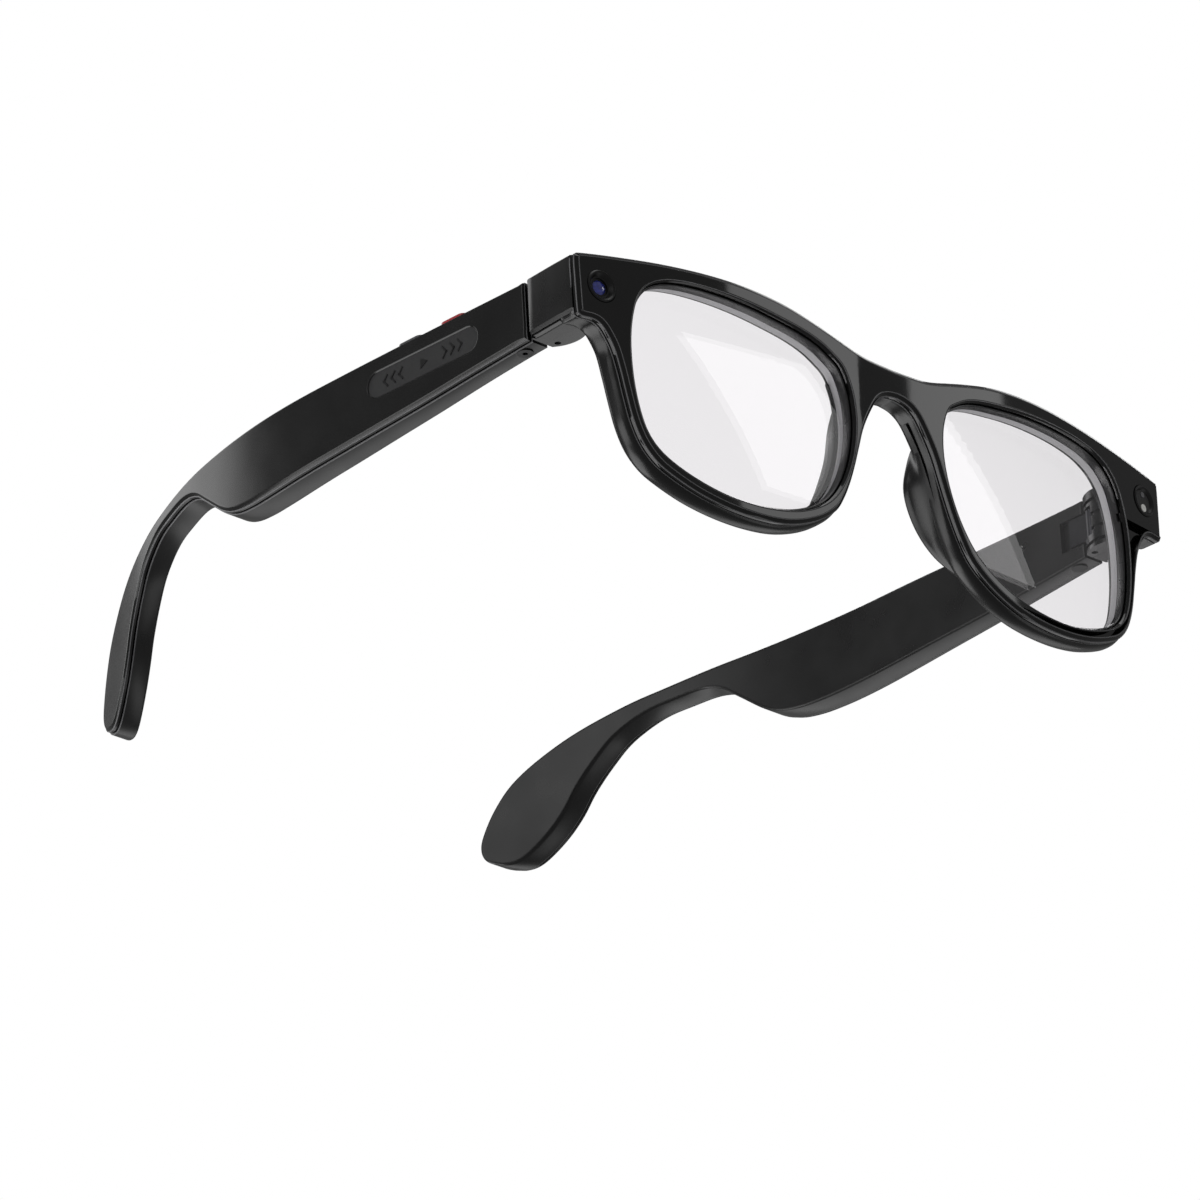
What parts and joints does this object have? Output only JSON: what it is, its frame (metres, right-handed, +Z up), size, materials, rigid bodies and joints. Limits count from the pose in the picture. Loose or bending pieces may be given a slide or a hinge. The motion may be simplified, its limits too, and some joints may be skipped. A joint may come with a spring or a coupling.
{
  "type": "smart glasses",
  "caption": "Black full-rim smart glasses with clear lenses, a corner camera, a status light, a touch strip, push buttons and folding temples.",
  "frame": {"origin": "on the ground plane under the middle of the pair's bounding box, with the temples open", "axes": "+X to the wearer's left, +Y back along the temples from the lenses to the ear tips, +Z up"},
  "size_m": [0.1488, 0.1556, 0.0458],
  "materials": {
    "gloss_black": "polished black plastic",
    "satin_black": "satin black nylon",
    "clear_lens": "clear coated lens",
    "ring_black": "satin dark trim",
    "flex_film": "amber flexible circuit",
    "bezel_black": "polished black",
    "coated_glass": "blue coated camera glass",
    "barrel_black": "black anodised",
    "circuit_board": "green solder mask",
    "light_white": "white diffuser",
    "sensor_grey": "grey window",
    "hinge_grey": "satin dark grey",
    "pin_steel": "turned steel",
    "leaf_steel": "dark plated steel",
    "temple_grey": "satin dark grey",
    "temple_black": "satin black",
    "pad_black": "fine matt black",
    "screw_black": "blackened steel",
    "plug_black": "matt black rubber",
    "button_red": "satin red",
    "button_grey": "satin grey",
    "battery_foil": "foil pouch",
    "speaker_black": "black moulded box",
    "grille_steel": "black perforated plate"
  },
  "bodies": {
    "front": {"front_cover": "gloss_black", "rear_frame": "satin_black", "lens_right": "clear_lens", "lens_left": "clear_lens", "lens_ring_right": "ring_black", "lens_ring_left": "ring_black", "front_flex": "flex_film", "camera_bezel": "bezel_black", "camera_glass": "coated_glass", "camera_barrel": "barrel_black", "camera_board": "circuit_board", "led_bezel": "bezel_black", "status_light": "light_white", "light_sensor": "sensor_grey", "light_board": "circuit_board", "hinge_block_right": "hinge_grey", "hinge_block_left": "hinge_grey", "hinge_pin_right": "pin_steel", "hinge_pin_left": "pin_steel"},
    "temple_right": {"temple_housing_right": "temple_grey", "temple_cover_right": "temple_black", "hinge_leaf_right": "leaf_steel", "touch_pad": "pad_black", "screw_right": "screw_black", "switch_board": "circuit_board", "main_board": "circuit_board", "battery_right": "battery_foil", "speaker_right": "speaker_black", "speaker_grille_right": "grille_steel"},
    "temple_left": {"temple_housing_left": "temple_grey", "temple_cover_left": "temple_black", "hinge_leaf_left": "leaf_steel", "screw_left": "plug_black", "radio_board": "circuit_board", "battery_left": "battery_foil", "speaker_left": "speaker_black", "speaker_grille_left": "grille_steel"},
    "red_button": {"button_red": "button_red"},
    "grey_button": {"button_grey": "button_grey"}
  },
  "joints": [
    {"name": "right_fold", "type": "hinge", "parent": "front", "child": "temple_right", "pos_m": [-0.0683, -0.06135, 0.03599], "axis": [0, 0, -1], "range_deg": [0, 70]},
    {"name": "left_fold", "type": "hinge", "parent": "front", "child": "temple_left", "pos_m": [0.0683, -0.06135, 0.03599], "axis": [0, 0, 1], "range_deg": [0, 84]},
    {"name": "red_press", "type": "slide", "parent": "temple_right", "child": "red_button", "axis": [0, 0, -1], "range_m": [0, 0.0005], "stiffness_N_per_m": 2000},
    {"name": "grey_press", "type": "slide", "parent": "temple_right", "child": "grey_button", "axis": [0, 0, -1], "range_m": [0, 0.0005], "stiffness_N_per_m": 2000}
  ]
}
